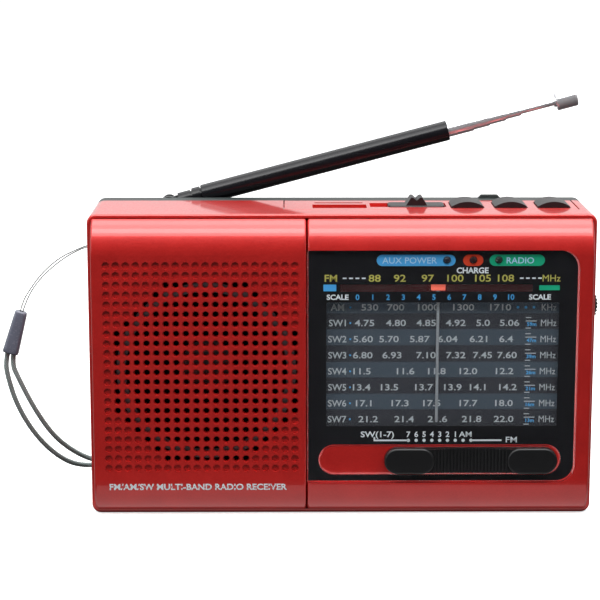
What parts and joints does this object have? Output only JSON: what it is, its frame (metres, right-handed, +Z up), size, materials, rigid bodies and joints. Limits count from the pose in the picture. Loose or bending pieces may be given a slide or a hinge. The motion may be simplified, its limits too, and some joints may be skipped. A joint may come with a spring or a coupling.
{
  "type": "shortwave receiver",
  "caption": "Portable multi-band radio with a round drilled speaker grille, slide-rule dial window, sliding band selector, thumbwheels, top buttons, telescopic aerial and wrist strap.",
  "frame": {"origin": "centre of the case's flat bottom face", "axes": "+X to the right along the case's length, +Y to the back, +Z up"},
  "size_m": [0.2004, 0.0731, 0.1369],
  "materials": {
    "red_abs": "gloss metallic red",
    "grey_abs": "satin",
    "black_abs": "satin",
    "steel": "plain",
    "clear_acrylic": "polished",
    "dial_black": "printed",
    "led_blue": "clear",
    "led_red": "clear",
    "led_green": "clear",
    "paper_cone": "matt pulp",
    "ferrite": "sintered",
    "grey_nylon": "moulded",
    "black_nylon": "moulded",
    "pointer_red": "painted",
    "cord_fibre": "twisted",
    "circuit_board": "solder mask",
    "nickel": "plated",
    "copper_wire": "enamelled",
    "battery_wrap": "printed film",
    "black_metal": "gloss black",
    "chrome": "polished",
    "lilac_grey_abs": "gloss",
    "string_nylon": "twisted",
    "strap_nylon": "braided"
  },
  "bodies": {
    "case": {"front_case": "red_abs", "rear_case": "grey_abs", "case_screws": "steel", "speaker_panel": "red_abs", "dial_bezel": "red_abs", "dial_lens": "clear_acrylic", "dial_plate": "dial_black", "led_blue": "led_blue", "led_red": "led_red", "led_green": "led_green", "speaker_frame": "steel", "speaker_cone": "paper_cone", "speaker_magnet": "ferrite", "band_switch": "grey_nylon", "tuning_bracket": "steel", "tuning_capacitor": "grey_nylon", "dial_cord": "cord_fibre", "volume_pot": "steel", "top_plate": "red_abs", "mode_switch": "grey_nylon", "tact_switches": "black_nylon", "media_board": "circuit_board", "usb_socket": "nickel", "card_socket": "nickel", "phone_jack": "black_nylon", "power_socket": "nickel", "main_board": "circuit_board", "coil_cans": "nickel", "receiver_chips": "black_nylon", "ferrite_rod": "ferrite", "ferrite_coil": "copper_wire", "battery_tray": "black_nylon", "battery": "battery_wrap", "battery_contacts": "nickel", "aerial_rest": "grey_abs", "strap_lug": "grey_abs", "strap_barrel": "lilac_grey_abs", "wrist_string": "string_nylon", "wrist_strap": "strap_nylon"},
    "battery_door": {"battery_door": "grey_abs"},
    "band_knob": {"band_knob": "black_abs"},
    "pointer": {"pointer": "pointer_red"},
    "tuning_wheel": {"tuning_wheel": "black_abs", "tuning_pulley": "grey_nylon"},
    "tuning_drum": {"tuning_drum": "grey_nylon"},
    "volume_wheel": {"volume_wheel": "black_abs"},
    "mode_slider": {"mode_slider": "black_abs"},
    "button_back": {"button_back": "black_abs"},
    "button_play": {"button_play": "black_abs"},
    "button_next": {"button_next": "black_abs"},
    "aerial_base": {"aerial_base": "black_metal", "hinge_pin": "nickel"},
    "aerial_mast": {"aerial_root": "black_metal", "aerial_mast": "black_metal"},
    "aerial_stage_1": {"aerial_stage_1": "chrome"},
    "aerial_stage_2": {"aerial_stage_2": "chrome"},
    "aerial_stage_3": {"aerial_stage_3": "chrome"},
    "aerial_stage_4": {"aerial_stage_4": "chrome"},
    "aerial_tip": {"aerial_tip": "chrome"}
  },
  "joints": [
    {"name": "tuning_spin", "type": "hinge", "parent": "case", "child": "tuning_wheel", "pos_m": [0.0756, 0, 0.0678], "axis": [0, 1, 0], "range_deg": [-381, 338.6]},
    {"name": "pointer_slide", "type": "slide", "parent": "case", "child": "pointer", "axis": [1, 0, 0], "range_m": [-0.0261, 0.0232]},
    {"name": "drum_turn", "type": "hinge", "parent": "case", "child": "tuning_drum", "pos_m": [0.01, 0, 0.05602], "axis": [0, 1, 0], "range_deg": [-96, 86]},
    {"name": "volume_spin", "type": "hinge", "parent": "case", "child": "volume_wheel", "pos_m": [0.0751, 0, 0.035], "axis": [0, 1, 0], "range_deg": [-150, 150]},
    {"name": "band_slide", "type": "slide", "parent": "case", "child": "band_knob", "axis": [-1, 0, 0], "range_m": [0, 0.02056]},
    {"name": "mode_slide", "type": "slide", "parent": "case", "child": "mode_slider", "axis": [-1, 0, 0], "range_m": [0, 0.0058]},
    {"name": "battery_door_slide", "type": "slide", "parent": "case", "child": "battery_door", "axis": [0, 0, -1], "range_m": [0, 0.03]},
    {"name": "press_back", "type": "slide", "parent": "case", "child": "button_back", "axis": [0, 0, -1], "range_m": [0, 0.0008], "stiffness_N_per_m": 600},
    {"name": "press_play", "type": "slide", "parent": "case", "child": "button_play", "axis": [0, 0, -1], "range_m": [0, 0.0008], "stiffness_N_per_m": 600},
    {"name": "press_next", "type": "slide", "parent": "case", "child": "button_next", "axis": [0, 0, -1], "range_m": [0, 0.0008], "stiffness_N_per_m": 600},
    {"name": "aerial_swivel", "type": "hinge", "parent": "case", "child": "aerial_base", "pos_m": [-0.0582, 0.0221, 0.0975], "axis": [0, 0, 1], "range_deg": [0, 180]},
    {"name": "aerial_fold", "type": "hinge", "parent": "aerial_base", "child": "aerial_mast", "pos_m": [-0.0582, 0.0221, 0.0975], "axis": [0, -1, 0], "range_deg": [-14.7, 75.26]},
    {"name": "stage_1_slide", "type": "slide", "parent": "aerial_mast", "child": "aerial_stage_1", "axis": [0.9671, 0, 0.2544], "range_m": [-0.0082, 0.068]},
    {"name": "stage_2_slide", "type": "slide", "parent": "aerial_stage_1", "child": "aerial_stage_2", "axis": [0.9671, 0, 0.2544], "range_m": [-0.0053, 0.068]},
    {"name": "stage_3_slide", "type": "slide", "parent": "aerial_stage_2", "child": "aerial_stage_3", "axis": [0.9671, 0, 0.2544], "range_m": [-0.0053, 0.068]},
    {"name": "stage_4_slide", "type": "slide", "parent": "aerial_stage_3", "child": "aerial_stage_4", "axis": [0.9671, 0, 0.2544], "range_m": [-0.005, 0.068]},
    {"name": "tip_slide", "type": "slide", "parent": "aerial_stage_4", "child": "aerial_tip", "axis": [0.9671, 0, 0.2544], "range_m": [-0.0112, 0.068]}
  ],
  "couplings": [
    {"joint": "pointer_slide", "follows": "tuning_spin", "m_per_rad": 0.00392},
    {"joint": "drum_turn", "follows": "tuning_spin", "ratio": 0.24968}
  ]
}
